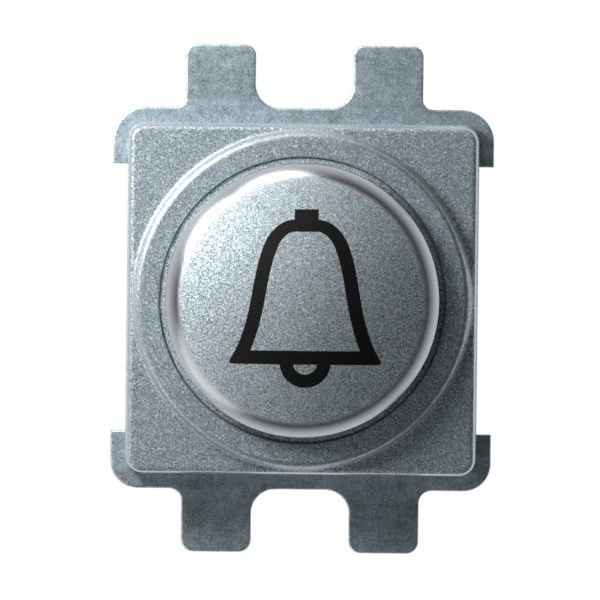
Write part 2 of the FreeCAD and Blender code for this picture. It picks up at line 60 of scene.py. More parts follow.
def cleanMesh(piece, smoothAngle=35, mergeDistance=1e-7):
    # Merges doubles, points the faces outwards and marks the creases above an angle in degrees sharp
    work = bmesh.new()
    work.from_mesh(piece.data)
    bmesh.ops.remove_doubles(work, verts=work.verts, dist=mergeDistance)
    bmesh.ops.dissolve_degenerate(work, edges=work.edges, dist=mergeDistance)
    bmesh.ops.recalc_face_normals(work, faces=work.faces)
    work.to_mesh(piece.data)
    work.free()
    piece.data.shade_smooth()
    piece.data.set_sharp_from_angle(angle=math.radians(smoothAngle))


def gridFaces(countU, countV, closedV):
    # Quads between neighbouring points of a grid that is closed along u, and along v where told
    v = np.arange(countV if closedV else countV - 1)
    u, v = np.meshgrid(np.arange(countU), v, indexing="ij")
    nextU = (u + 1) % countU
    nextV = (v + 1) % countV
    corners = [u * countV + v, nextU * countV + v, nextU * countV + nextV, u * countV + nextV]
    return np.stack(corners, axis=-1).reshape(-1, 4)


def gridObject(name, points, closedV=False):
    # A surface from a grid of points, u first, that is closed along u and merged where points meet
    faces = gridFaces(*points.shape[:2], closedV)
    mesh = bpy.data.meshes.new(name)
    mesh.from_pydata(points.reshape(-1, 3).tolist(), [], faces.tolist())
    piece = bpy.data.objects.new(name, mesh)
    scene.collection.objects.link(piece)
    cleanMesh(piece)
    return piece


def roundedPath(corners, radii, steps=6, closed=False):
    # A polyline whose corners are arcs: each arc's points lie on the circle of its radius
    # that touches both sides, between the two tangent points
    nearlyStraight = 1e-6
    corners = np.asarray(corners, float)
    radii = np.broadcast_to(np.asarray(radii, float), len(corners))
    pieces = []
    for index, corner in enumerate(corners):
        isEnd = not closed and index in (0, len(corners) - 1)
        if isEnd or radii[index] <= 0:
            pieces.append(corner[None])
            continue
        before = corners[index - 1] - corner
        after = corners[(index + 1) % len(corners)] - corner
        before = before / np.linalg.norm(before)
        after = after / np.linalg.norm(after)
        half = math.acos(float(np.clip(before @ after, -1, 1))) / 2
        if math.pi / 2 - half < nearlyStraight:
            pieces.append(corner[None])
            continue
        middle = (before + after) / np.linalg.norm(before + after)
        centre = corner + middle * radii[index] / math.sin(half)
        sweep = np.linspace(half - math.pi / 2, math.pi / 2 - half, steps + 1)
        side = before - (before @ middle) * middle
        side = side / np.linalg.norm(side)
        bend = np.cos(sweep)[:, None] * middle + np.sin(sweep)[:, None] * side
        pieces.append(centre - radii[index] * bend)
    return np.concatenate(pieces)


def splineThrough(points, startSlope, endSlope, count):
    # A smooth curve through the points: cubics over the chords' lengths, whose slopes are
    # solved so that the bend runs on from one to the next, with given unit slopes at the ends
    points = np.asarray(points, float)
    steps = np.diff(points, axis=0)
    gaps = np.linalg.norm(steps, axis=1)
    run = np.concatenate([[0], np.cumsum(gaps)])
    matrix = np.eye(len(points))
    sides = np.zeros_like(points)
    sides[0] = startSlope
    sides[-1] = endSlope
    inner = np.arange(1, len(points) - 1)
    before = 1 / gaps[:-1]
    after = 1 / gaps[1:]
    matrix[inner, inner - 1] = before
    matrix[inner, inner] = 2 * (before + after)
    matrix[inner, inner + 1] = after
    sides[inner] = 3 * (steps[:-1] * before[:, None] ** 2 + steps[1:] * after[:, None] ** 2)
    slopes = np.linalg.solve(matrix, sides)
    place = np.linspace(0, run[-1], count)
    index = np.clip(np.searchsorted(run, place, "right") - 1, 0, len(gaps) - 1)
    gap = gaps[index][:, None]
    t = (place - run[index])[:, None] / gap
    ends = points[index] * (2 * t ** 3 - 3 * t ** 2 + 1) + points[index + 1] * (3 * t ** 2 - 2 * t ** 3)
    return ends + gap * (slopes[index] * (t ** 3 - 2 * t ** 2 + t) + slopes[index + 1] * (t ** 3 - t ** 2))


def turnedObject(name, profile, steps):
    # A profile of (radius, y) points carried round the Y axis
    turn = np.linspace(0, 2 * math.pi, steps, endpoint=False)[:, None]
    radius = profile[None, :, 0]
    y = np.broadcast_to(profile[None, :, 1], (steps, len(profile)))
    return gridObject(name, np.stack([radius * np.cos(turn), y, radius * np.sin(turn)], axis=-1))


def squareRadius(turn, half, corner):
    # How far a rounded square reaches at each angle: its straight side divided by the cosine,
    # or on the corner the far root of the ray's distance to the corner circle's centre
    c = np.abs(np.cos(turn))
    s = np.abs(np.sin(turn))
    inner = half - corner
    flat = half / np.maximum(c, s)
    reach = flat * np.minimum(c, s)
    along = inner * (c + s)
    onCorner = along + np.sqrt(np.maximum(along ** 2 - (2 * inner ** 2 - corner ** 2), 0))
    return np.where(reach <= inner, flat, onCorner)


def squareDepth(x, z, half, corner):
    # How far inside a rounded square each point lies: the corner's radius less the distance
    # from the smaller square that holds the corner circles' centres
    beyondX = np.abs(x) - (half - corner)
    beyondZ = np.abs(z) - (half - corner)
    distance = np.hypot(np.maximum(beyondX, 0), np.maximum(beyondZ, 0))
    return corner - distance - np.minimum(np.maximum(beyondX, beyondZ), 0)


def squareTurns(half, corner, steps, cornerSteps):
    # Angles for a rounded square, with extra ones on its four corners and none too close together
    closest = 1e-4
    spread = math.pi / 4 - math.atan2(half - corner, half)
    turns = [np.linspace(0, 2 * math.pi, steps, endpoint=False)]
    for quarter in range(4):
        middle = math.pi / 4 + quarter * math.pi / 2
        turns.append(np.linspace(middle - spread, middle + spread, cornerSteps))
    turns = np.unique(np.round(np.concatenate(turns), 6))
    keep = np.concatenate([[True], np.diff(turns) > closest])
    return turns[keep]


def applyBoolean(piece, cutter, operation):
    # Cuts a piece by another mesh, or keeps what both share, and deletes the other mesh
    modifier = piece.modifiers.new("cut", "BOOLEAN")
    modifier.operation = operation
    modifier.solver = "EXACT"
    modifier.object = cutter
    bpy.context.view_layer.update()
    graph = bpy.context.evaluated_depsgraph_get()
    result = bpy.data.meshes.new_from_object(piece.evaluated_get(graph))
    piece.modifiers.clear()
    piece.data = result
    bpy.data.objects.remove(cutter)


def flatObject(name, outlines, depth, y, bevel=0.0):
    # A flat plate from closed outlines of (x, z) points, holes among them, from y to y + depth
    curve = bpy.data.curves.new(name, "CURVE")
    curve.dimensions = "2D"
    curve.fill_mode = "BOTH"
    curve.extrude = depth / 2 - bevel
    curve.bevel_depth = bevel
    curve.bevel_resolution = 3
    curve.offset = -bevel
    for outline in outlines:
        spline = curve.splines.new("POLY")
        spline.points.add(len(outline) - 1)
        spline.points.foreach_set("co", np.column_stack([outline, np.zeros(len(outline)),
                                                         np.ones(len(outline))]).ravel())
        spline.use_cyclic_u = True
    carrier = bpy.data.objects.new(name, curve)
    scene.collection.objects.link(carrier)
    bpy.context.view_layer.update()
    mesh = bpy.data.meshes.new_from_object(carrier)
    bpy.data.objects.remove(carrier)
    count = len(mesh.vertices)
    flat = np.empty(count * 3)
    mesh.vertices.foreach_get("co", flat)
    flat = flat.reshape(-1, 3)
    placed = np.column_stack([flat[:, 0], y + depth / 2 - flat[:, 2], flat[:, 1]])
    mesh.vertices.foreach_set("co", placed.ravel())
    piece = bpy.data.objects.new(name, mesh)
    scene.collection.objects.link(piece)
    cleanMesh(piece)
    return piece


def circleOutline(radius, steps, x=0.0, z=0.0):
    # A circle's points as (x, z)
    turn = np.linspace(0, 2 * math.pi, steps, endpoint=False)
    return np.column_stack([x + radius * np.cos(turn), z + radius * np.sin(turn)])


def settle(piece, body, node, material):
    # Gives a piece its material, attaches it to its body and hides the node that it stands in for
    weighNormals(piece)
    piece.data.materials.clear()
    piece.data.materials.append(material)
    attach(piece, body)
    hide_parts(node)


# Materials

class Socket:
    # A shader socket that adds Math nodes when it is used in an expression
    def __init__(self, shader, link):
        self.shader = shader
        self.link = link

    def maths(self, operation, *values):
        return self.shader.node("ShaderNodeMath", {"operation": operation}, dict(enumerate(values)))

    def __add__(self, other):
        return self.maths("ADD", self, other)

    def __radd__(self, other):
        return self.maths("ADD", other, self)

    def __sub__(self, other):
        return self.maths("SUBTRACT", self, other)

    def __rsub__(self, other):
        return self.maths("SUBTRACT", other, self)

    def __mul__(self, other):
        return self.maths("MULTIPLY", self, other)

    def __pow__(self, other):
        return self.maths("POWER", self, other)


class Shader:
    # A material's node tree with its Principled shader
    def __init__(self, name):
        self.material = bpy.data.materials.new(name)
        self.material.use_nodes = True
        self.tree = self.material.node_tree
        self.surface = self.tree.nodes["Principled BSDF"]

    def node(self, kind, settings=None, inputs=None, output=0):
        # Any node: its type, its settings, and its sockets' values or links
        made = self.tree.nodes.new(kind)
        for key, value in (settings or {}).items():
            if key == "stops":
                self.fillRamp(made.color_ramp, value)
            else:
                setattr(made, key, value)
        for key, value in (inputs or {}).items():
            self.put(made.inputs[key], value)
        return Socket(self, made.outputs[output])

    def fillRamp(self, ramp, stops):
        while len(ramp.elements) < len(stops):
            ramp.elements.new(0.5)
        for element, (place, colour) in zip(ramp.elements, stops):
            element.position = place
            element.color = colour

    def put(self, socket, value):
        if isinstance(value, Socket):
            self.tree.links.new(value.link, socket)
        else:
            socket.default_value = value

    def set(self, **values):
        # The Principled shader's sockets, by name with the blanks left out
        for socket in self.surface.inputs:
            key = socket.name.replace(" ", "")
            key = key[0].lower() + key[1:]
            if key in values:
                self.put(socket, values[key])

    def place(self, stretch=(1, 1, 1)):
        coordinates = self.node("ShaderNodeTexCoord", {}, {}, "Object")
        return self.node("ShaderNodeMapping", {}, {"Vector": coordinates, "Scale": stretch})

    def noise(self, vector, scale, detail=2.0, roughness=0.5):
        return self.node("ShaderNodeTexNoise", {}, {"Vector": vector, "Scale": scale, "Detail": detail,
                                                    "Roughness": roughness})

    def cells(self, vector, size):
        # A random colour for each Voronoi cell
        return self.node("ShaderNodeTexVoronoi", {"feature": "F1"},
                         {"Vector": vector, "Scale": 1 / size}, "Color")

    def channel(self, colour, name):
        return self.node("ShaderNodeSeparateColor", {}, {"Color": colour}, name)

    def bump(self, height, strength, depth):
        return self.node("ShaderNodeBump", {}, {"Height": height, "Strength": strength, "Distance": depth})

    def rise(self, value, start, end):
        # From 0 to 1 between two values, with soft ends
        return self.node("ShaderNodeMapRange", {"interpolation_type": "SMOOTHSTEP"},
                         {"Value": value, "From Min": start, "From Max": end})

    def mixColour(self, factor, first, second):
        return self.node("ShaderNodeMix", {"data_type": "RGBA"}, {0: factor, 6: first, 7: second}, 2)

    def vector(self, operation, *values, output=0, scale=None):
        inputs = dict(enumerate(values))
        if scale is not None:
            inputs["Scale"] = scale
        return self.node("ShaderNodeVectorMath", {"operation": operation}, inputs, output)


def tinted(level, red, blue):
    # A grey of the given level with its red and blue scaled
    return (level * red, level, level * blue)


flakePaint = dict(flakeSize=0.055 * mm, glintSize=0.085 * mm, glintPower=7.0, cloudSize=1.6 * mm,
                  cloudDetail=3.0, cloudRoughness=0.6, sparkle=0.35, roughness=0.62)
bareMetal = dict(colour=(0.53, 0.56, 0.585), roughness=0.25)


def flakeMetal(name, colour, metal, contrast, glint, cloud, bareShare):
    # Metallic lacquer: every Voronoi cell is one flake with its own small tilt and its own
    # brightness. A second, coarser set is dull but for a few cells painted bright as glints, and both
    # lie over a soft cloud of lighter and darker metal. Where bareShare is 1 the metal is smooth and bare.
    shader = Shader(name)
    place = shader.place()
    bare = bareShare(shader, place)
    cells = shader.cells(place, flakePaint["flakeSize"])
    chance = shader.channel(cells, "Red")
    tilt = shader.vector("SCALE", shader.vector("SUBTRACT", cells, (0.5, 0.5, 0.5)),
                         scale=(1 - bare) * flakePaint["sparkle"])
    normal = shader.node("ShaderNodeNewGeometry", {}, {}, "Normal")
    tilted = shader.vector("NORMALIZE", shader.vector("ADD", normal, tilt))
    # Painted glints: a few coarse cells get a much lighter colour, standing in for flakes that catch the
    # light
    luck = shader.channel(shader.cells(place, flakePaint["glintSize"]), "Green")
    paintedGlints = luck ** flakePaint["glintPower"] - 1 / (flakePaint["glintPower"] + 1)
    soft = shader.noise(place, 1 / flakePaint["cloudSize"], flakePaint["cloudDetail"],
                        flakePaint["cloudRoughness"])
    lightness = 1 + (chance - 0.5) * contrast + paintedGlints * glint + (soft - 0.5) * cloud
    paint = shader.vector("SCALE", colour, scale=lightness)
    smoothing = bareMetal["roughness"] - flakePaint["roughness"]
    shader.set(baseColor=shader.mixColour(bare, paint, bareMetal["colour"] + (1,)),
               metallic=metal + bare * (1 - metal), roughness=flakePaint["roughness"] + bare * smoothing,
               normal=tilted)
    return shader.material


# Where the paint is worn off: the values at which a zone starts, is full, is last full and ends
capBare = dict(rim=(7.45 * mm, 7.9 * mm, 8.55 * mm, 8.6 * mm),
               ledge=(8.82 * mm, 8.86 * mm, 9.5 * mm, 9.6 * mm), ledgeShare=0.35)
blockBare = dict(frontEdge=(-3.15 * mm, -3.07 * mm, -2.95 * mm, -2.85 * mm),
                 bossEdge=(10.1 * mm, 10.2 * mm, 10.62 * mm, 10.75 * mm), bossEdgeShare=0.42,
                 hole=(8.5 * mm, 8.6 * mm, 9.02 * mm, 9.06 * mm), holeShare=0.35)


def zoneShare(shader, value, zone):
    # 1 inside a zone and 0 outside it, with soft borders
    start, full, last, end = zone
    return shader.rise(value, start, full) * (1 - shader.rise(value, last, end))


def ringShare(shader, place, zone):
    # The share for a zone of radii round the button's axis
    distance = shader.vector("LENGTH", shader.vector("MULTIPLY", place, (1, 0, 1)), output="Value")
    return zoneShare(shader, distance, zone)


def capBareShare(shader, place):
    # The dome's rounded rim is bare, and the ledge's own edge is in part
    ledge = ringShare(shader, place, capBare["ledge"]) * capBare["ledgeShare"]
    return ringShare(shader, place, capBare["rim"]) + ledge


def blockBareShare(shader, place):
    # The block's rounded edge is bare, and the boss's outer edge and the hole's edge are in part
    depth = shader.node("ShaderNodeSeparateXYZ", {}, {"Vector": place}, "Y")
    painted = 1 - zoneShare(shader, depth, blockBare["frontEdge"])
    for zone in ("bossEdge", "hole"):
        painted = painted * (1 - ringShare(shader, place, blockBare[zone]) * blockBare[zone + "Share"])
    return 1 - painted


plating = dict(blotchSize=0.6 * mm, cloudSize=2.5 * mm, grainSize=0.08 * mm, lineSize=0.12 * mm,
               lineStretch=(1, 1, 0.06), blotchShare=1.3, cloudShare=0.8, grainShare=0.7, lineBump=0.4,
               bumpStrength=0.35, bumpDepth=0.012 * mm, metal=0.5, unevenGloss=0.15)


def platedSteel(name, colour, roughness, blotch):
    # Zinc plating: small crystal blotches of lighter and darker metal, and faint rolling lines
    shader = Shader(name)
    place = shader.place()
    blotches = shader.noise(place, 1 / plating["blotchSize"], detail=4.0, roughness=0.6)
    cloud = shader.noise(place, 1 / plating["cloudSize"])
    grain = shader.channel(shader.cells(place, plating["grainSize"]), "Red")
    lines = shader.noise(shader.place(plating["lineStretch"]), 1 / plating["lineSize"])
    lightness = (1 + (blotches - 0.5) * blotch * plating["blotchShare"]
                 + (cloud - 0.5) * blotch * plating["cloudShare"]
                 + (grain - 0.5) * blotch * plating["grainShare"])
    bump = shader.bump(blotches + lines * plating["lineBump"], plating["bumpStrength"],
                       plating["bumpDepth"])
    shader.set(baseColor=shader.vector("SCALE", colour, scale=lightness), metallic=plating["metal"],
               roughness=roughness + (blotches - 0.5) * plating["unevenGloss"], normal=bump)
    return shader.material


moulding = dict(cloudSize=3 * mm, cloudShare=0.25, bumpDepth=0.02 * mm, unevenGloss=0.2)


def mouldedPlastic(name, colour, roughness, grainSize, strength=0.25):
    # Spark-eroded moulding: fine pitted bump and a little unevenness in gloss
    shader = Shader(name)
    place = shader.place()
    grain = shader.noise(place, 1 / grainSize, detail=3.0, roughness=0.6)
    cloud = shader.noise(place, 1 / moulding["cloudSize"])
    tone = 1 + (cloud - 0.5) * moulding["cloudShare"]
    shader.set(baseColor=shader.vector("SCALE", colour, scale=tone),
               roughness=roughness + (grain - 0.5) * moulding["unevenGloss"],
               normal=shader.bump(grain, strength, moulding["bumpDepth"]))
    return shader.material


filling = dict(colour=(0.008, 0.008, 0.0085, 1), dust=(0.07, 0.07, 0.075, 1), dustSize=0.12 * mm,
               dustStart=0.68, dustFull=0.8, waveSize=0.2 * mm, bumpStrength=0.15, bumpDepth=0.01 * mm,
               roughness=0.5, reflection=0.25)


def enamel(name):
    # Black filling of the engraving: nearly smooth, with a few dust specks
    shader = Shader(name)
    place = shader.place()
    black = (0, 0, 0, 1)
    stops = [(0.0, black), (filling["dustStart"], black), (filling["dustFull"], (1, 1, 1, 1))]
    speck = shader.node("ShaderNodeValToRGB", {"stops": stops},
                        {"Fac": shader.noise(place, 1 / filling["dustSize"])})
    waves = shader.noise(place, 1 / filling["waveSize"])
    shader.set(baseColor=shader.mixColour(speck, filling["colour"], filling["dust"]),
               roughness=filling["roughness"], specularIORLevel=filling["reflection"],
               normal=shader.bump(waves, filling["bumpStrength"], filling["bumpDepth"]))
    return shader.material


drawing = dict(streakSize=0.15 * mm, lowTone=0.9, toneRise=0.2, bumpStrength=0.2, bumpDepth=0.01 * mm,
               unevenGloss=0.15)


def wroughtMetal(name, colour, roughness, stretch=(1, 1, 1)):
    # Drawn or pressed metal: streaks along one direction in colour, gloss and bump
    shader = Shader(name)
    streaks = shader.noise(shader.place(stretch), 1 / drawing["streakSize"], detail=3.0, roughness=0.6)
    tone = drawing["lowTone"] + streaks * drawing["toneRise"]
    shader.set(baseColor=shader.vector("SCALE", colour, scale=tone), metallic=1.0,
               roughness=roughness + (streaks - 0.5) * drawing["unevenGloss"],
               normal=shader.bump(streaks, drawing["bumpStrength"], drawing["bumpDepth"]))
    return shader.material


# The glint values set how strongly painted glints lighten each paint's colour
blockPaint = flakeMetal("blockPaint", tinted(0.49, 0.85, 1.08), metal=0.5, contrast=1.25, glint=1.2,
                        cloud=0.2, bareShare=blockBareShare)
capPaint = flakeMetal("capPaint", tinted(0.56, 0.87, 1.06), metal=0.55, contrast=1.45, glint=0.8,
                      cloud=0.12, bareShare=capBareShare)
platePlating = platedSteel("platePlating", tinted(0.6, 0.83, 1.1), roughness=0.35, blotch=0.9)
blackEnamel = enamel("blackEnamel")
basePlastic = mouldedPlastic("basePlastic", (0.018, 0.018, 0.019), roughness=0.5, grainSize=0.12 * mm)
plungerPlastic = mouldedPlastic("plungerPlastic", (0.62, 0.62, 0.57), roughness=0.45, grainSize=0.2 * mm,
                                strength=0.1)
sealRubber = mouldedPlastic("sealRubber", (0.02, 0.02, 0.02), roughness=0.75, grainSize=0.1 * mm)
springSteel = wroughtMetal("springSteel", (0.45, 0.46, 0.47), 0.3)
contactBronze = wroughtMetal("contactBronze", (0.65, 0.38, 0.18), 0.3, (0.1, 1, 1))
contactBrass = wroughtMetal("contactBrass", (0.72, 0.5, 0.2), 0.3, (1, 0.1, 1))
tipSilver = wroughtMetal("tipSilver", (0.75, 0.73, 0.68), 0.25)
clampSteel = wroughtMetal("clampSteel", (0.55, 0.55, 0.53), 0.32)
screwSteel = wroughtMetal("screwSteel", (0.5, 0.51, 0.51), 0.3)
print("materials made")


# Front block with its boss

bezelLow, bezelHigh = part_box("bezel")
block = dict(half=11.0 * mm, corner=1.1 * mm, draft=0.12 * mm, edge=0.35 * mm, front=-3.2 * mm,
             shoulder=-2.0 * mm, pocket=9.95 * mm, seat=0.0, back=bezelHigh.y, edgeSteps=10)
boss = dict(front=bezelLow.y, foot=10.55 * mm, draft=0.08 * mm, edge=0.43 * mm, footRound=0.3 * mm,
            wall=1.52 * mm, holeEdge=0.12 * mm, support=0.03 * mm)
boss["top"] = boss["foot"] - boss["draft"]
boss["hole"] = boss["top"] - boss["wall"]
keyway = dict(turn=math.radians(45), width=2.3 * mm, reach=10.75 * mm, plateRoom=0.05 * mm)


def bossProfile():
    # Section of the boss from the pocket's shoulder to the foot's rounding, as (radius, y), and
    # the rounding's own points: the last ones from where it leaves the wall
    steps = 10
    corners = [(boss["hole"], block["shoulder"]), (boss["hole"], boss["front"]),
               (boss["top"], boss["front"]), (boss["foot"], block["front"]),
               (block["half"] + mm, block["front"])]
    path = roundedPath(corners, [0, boss["holeEdge"], boss["edge"], boss["footRound"], 0], steps)[:-1]
    holeEnd = 1 + steps
    support = np.array([[path[holeEnd, 0] + boss["support"], boss["front"]],
                        [path[holeEnd + 1, 0] - boss["support"], boss["front"]]])
    ring = np.concatenate([path[:holeEnd + 1], support, path[holeEnd + 1:-(steps + 1)]])
    return ring, path[-(steps + 1):]


def faceRows(turn, fillet):
    # The block's face from the boss's foot to the silhouette. Radii of the foot's rounding and
    # of the edge's rounding are sorted together at each angle, because they cross at mid-side.
    # A point lies on the face, back by the edge's rounding and forward by the foot's.
    half = block["half"] - block["draft"]
    corner = block["corner"] - block["draft"]
    insets = block["edge"] * (1 - np.sin(np.linspace(0, math.pi / 2, block["edgeSteps"])))
    insets = np.concatenate([[block["edge"] + boss["support"]], insets])
    radii = [np.full_like(turn, radius) for radius in fillet[:, 0]]
    radii.append(np.full_like(turn, fillet[-1, 0] + boss["support"]))
    radii += [squareRadius(turn, half - inset, corner - inset) for inset in insets]
    radii = np.sort(np.stack(radii, axis=1), axis=1)
    depth = squareDepth(radii * np.cos(turn)[:, None], radii * np.sin(turn)[:, None], half, corner)
    short = np.clip(block["edge"] - depth, 0, block["edge"])
    drop = block["edge"] - np.sqrt(block["edge"] ** 2 - short ** 2)
    rise = np.interp(radii, fillet[:, 0], block["front"] - fillet[:, 1], right=0)
    return radii, block["front"] + drop - rise


def cutKeyway(piece, width, reach, start, end):
    # The plunger's two keys lie opposite each other, so one bar across the axis cuts both notches
    along = np.array([math.cos(keyway["turn"]), math.sin(keyway["turn"])])
    across = np.array([-along[1], along[0]]) * width / 2
    outline = np.array([along * reach + across, across - along * reach, -along * reach - across,
                        along * reach - across])
    applyBoolean(piece, flatObject("bar", [outline], end - start, start), "DIFFERENCE")
    cleanMesh(piece, mergeDistance=fineMerge)
    return piece


def makeBezel():
    # Each row of the grid is a ring: a circle on the boss, a rounded square on the block.
    # The rows run from the hole over the boss and the outer edge to the back and the pocket.
    turn = squareTurns(block["half"], block["corner"], steps=360, cornerSteps=18)
    ring, fillet = bossProfile()
    faceRadii, faceY = faceRows(turn, fillet)
    ringRadii = np.broadcast_to(ring[:, 0], (len(turn), len(ring)))
    ringY = np.broadcast_to(ring[:, 1], ringRadii.shape)
    side = squareRadius(turn, block["half"], block["corner"])
    pocket = np.full_like(turn, block["pocket"])
    backRadii = np.stack([side, side, pocket, pocket], axis=1)
    backLevels = [block["seat"], block["back"], block["back"], block["shoulder"]]
    backY = np.broadcast_to(backLevels, backRadii.shape)
    radius = np.concatenate([ringRadii, faceRadii, backRadii], axis=1)
    y = np.concatenate([ringY, faceY, backY], axis=1)
    points = np.stack([radius * np.cos(turn)[:, None], y, radius * np.sin(turn)[:, None]], axis=-1)
    cast = gridObject("bezel_cast", points, closedV=True)
    return cutKeyway(cast, keyway["width"], keyway["reach"], block["shoulder"], block["back"] + mm)


settle(makeBezel(), "module", "bezel", blockPaint)
print("bezel made")


# Button cap and its bell

capLow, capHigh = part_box("push_cap")
cap = dict(radius=8.935 * mm, dome=8.56 * mm, crown=19.0 * mm, rim=3.1 * mm, rimStart=7.19 * mm,
           rimEnd=math.radians(52), wallRound=0.1 * mm, wall=0.8 * mm, ledge=-3.75 * mm,
           ledgeRound=0.1 * mm, apex=capLow.y, back=capHigh.y, crownSteps=64, rimSteps=28, turnSteps=288)
bell = dict(shift=0.22 * mm, depth=0.18 * mm, stroke=0.86 * mm, crownStroke=0.74 * mm, top=5.07 * mm,
            bottom=-3.95 * mm, crownFlat=0.85 * mm, lip=4.84 * mm, lipFlare=0.55, lipRound=0.15 * mm,
            knob=0.75 * mm, knobHeight=0.66 * mm, clapper=1.6 * mm, clapperStroke=0.84 * mm,
            clapperRise=0.14 * mm, crownPart=0.25, sideSteps=48, clapperSteps=30, eyeSteps=20,
            ballTurn=0.5, ballSteps=80, ballTurnSteps=240, smoothAngle=30,
            side=[(1.55 * mm, 4.85 * mm), (2.2 * mm, 4.28 * mm), (2.88 * mm, 2.8 * mm),
                  (3.22 * mm, 1.3 * mm), (3.48 * mm, -0.2 * mm), (3.84 * mm, -1.7 * mm),
                  (4.19 * mm, -2.7 * mm)])


def domeArcs(inset):
    # The dome's section as (radius, y): the crown's circle from the axis to where the rim's
    # smaller circle touches it, then that circle to its end or to the inside of the wall
    crown = cap["crown"] - inset
    rim = cap["rim"] - inset
    start = math.asin(cap["rimStart"] / cap["crown"])
    centreRadius = (cap["crown"] - cap["rim"]) * math.sin(start)
    crownY = cap["apex"] + cap["crown"]
    centreY = crownY - (cap["crown"] - cap["rim"]) * math.cos(start)
    wallTurn = math.asin((cap["dome"] - inset - centreRadius) / rim)
    crownTurn = np.linspace(0, start, cap["crownSteps"])
    rimTurn = np.linspace(start, min(cap["rimEnd"], wallTurn), cap["rimSteps"])[1:]
    crownArc = np.column_stack([crown * np.sin(crownTurn), crownY - crown * np.cos(crownTurn)])
    rimArc = np.column_stack([centreRadius + rim * np.sin(rimTurn), centreY - rim * np.cos(rimTurn)])
    return np.concatenate([crownArc, rimArc])


def makeCapShell():
    # The section runs over the dome, the ledge and the skirt, and back inside
    outside = domeArcs(0)
    wallTop = outside[-1, 1] + (cap["dome"] - outside[-1, 0]) * math.tan(cap["rimEnd"])
    inner = cap["radius"] - cap["wall"]
    skirt = roundedPath([outside[-1], (cap["dome"], wallTop), (cap["dome"], cap["ledge"]),
                         (cap["radius"], cap["ledge"]), (cap["radius"], cap["back"]), (inner, cap["back"]),
                         (inner, cap["ledge"]), (cap["dome"] - cap["wall"], cap["ledge"])],
                        [0, cap["wallRound"], 0, cap["ledgeRound"], 0, 0, 0, 0])
    profile = np.concatenate([outside[:-1], skirt, domeArcs(cap["wall"])[::-1]])
    return turnedObject("cap_shell", profile, cap["turnSteps"])


def bellSide(inset):
    # The bell's right side, crown to lip, moved inwards at right angles to itself, by a little
    # less at the crown
    count = bell["sideSteps"]
    points = [(bell["crownFlat"], bell["top"])] + bell["side"] + [(bell["lip"], bell["bottom"])]
    flare = np.array([bell["lipFlare"], -1]) / math.hypot(bell["lipFlare"], 1)
    curve = splineThrough(points, (1, 0), flare, count)
    if inset == 0:
        return curve
    along = np.gradient(curve, axis=0)
    along = along / np.linalg.norm(along, axis=1)[:, None]
    crownShare = np.clip(1 - np.linspace(0, 1, count) / bell["crownPart"], 0, 1)
    depth = inset + (bell["crownStroke"] - inset) * crownShare
    return curve + np.column_stack([along[:, 1], -along[:, 0]]) * depth[:, None]


def bellOutlines():
    # Outer outline with knob and clapper, and the two openings inside
    side = bellSide(0)
    side = side[np.linalg.norm(side - side[-1], axis=1) > 2 * bell["lipRound"]]
    clapperZ = bell["bottom"] + bell["clapperRise"]
    outerStart = math.asin(bell["clapperRise"] / bell["clapper"])
    sweep = np.linspace(-outerStart, outerStart - math.pi, bell["clapperSteps"])
    clapperArc = np.column_stack([bell["clapper"] * np.cos(sweep),
                                  clapperZ + bell["clapper"] * np.sin(sweep)])
    lip = roundedPath([side[-1], (bell["lip"], bell["bottom"]), (bell["clapper"], bell["bottom"])],
                      [0, bell["lipRound"], 0])[1:-1]
    knob = np.array([(bell["knob"], bell["top"] + bell["knobHeight"]), (bell["knob"], bell["top"])])
    right = np.concatenate([knob, side, lip])
    left = right[::-1] * np.array([-1, 1])
    outer = np.concatenate([right, clapperArc, left])
    inner = bellSide(bell["stroke"])
    inner = inner[inner[:, 1] > bell["bottom"] + bell["stroke"]]
    last = inner[-1] + (inner[-1] - inner[-2]) * ((bell["bottom"] + bell["stroke"] - inner[-1, 1])
                                                  / (inner[-1, 1] - inner[-2, 1]))
    inner = np.vstack([inner, last])
    mouth = np.concatenate([inner, inner[::-1] * np.array([-1, 1])])
    ringRadius = bell["clapper"] - bell["clapperStroke"]
    start = math.asin(bell["clapperRise"] / ringRadius)
    sweep = np.linspace(-start, start - math.pi, bell["eyeSteps"])
    eye = np.column_stack([ringRadius * np.cos(sweep), clapperZ + ringRadius * np.sin(sweep)])
    shift = np.array([bell["shift"], 0])
    return [outline + shift for outline in (outer, mouth, eye)]


def makeBellPrism():
    # The bell's outline as a bar from just ahead of the dome to the ledge
    depth = cap["ledge"] - cap["apex"] + bell["depth"]
    return flatObject("cutter", bellOutlines(), depth, cap["apex"] - bell["depth"])


def ball(name, radius):
    # The front cap of the ball whose surface is the crown, closed well behind it
    turn = np.linspace(0, bell["ballTurn"], bell["ballSteps"])
    profile = np.column_stack([radius * np.sin(turn), cap["apex"] + cap["crown"] - radius * np.cos(turn)])
    profile = np.vstack([profile, [0, profile[-1, 1]]])
    return turnedObject(name, profile, bell["ballTurnSteps"])


def makeBellInlay():
    # What the prism and the crown's ball share, down to the engraving's depth
    inlay = ball("bell_filling", cap["crown"])
    applyBoolean(inlay, makeBellPrism(), "INTERSECT")
    applyBoolean(inlay, ball("core", cap["crown"] - bell["depth"]), "DIFFERENCE")
    cleanMesh(inlay, bell["smoothAngle"], fineMerge)
    return inlay


def makePushCap():
    # The shell with the bell engraved to its depth
    shell = makeCapShell()
    cutter = makeBellPrism()
    applyBoolean(cutter, ball("core", cap["crown"] - bell["depth"]), "DIFFERENCE")
    applyBoolean(shell, cutter, "DIFFERENCE")
    cleanMesh(shell, bell["smoothAngle"], fineMerge)
    return shell


settle(makePushCap(), "button", "push_cap", capPaint)
settle(makeBellInlay(), "button", "bell_inlay", blackEnamel)
print("cap and bell made")


# Lug plate

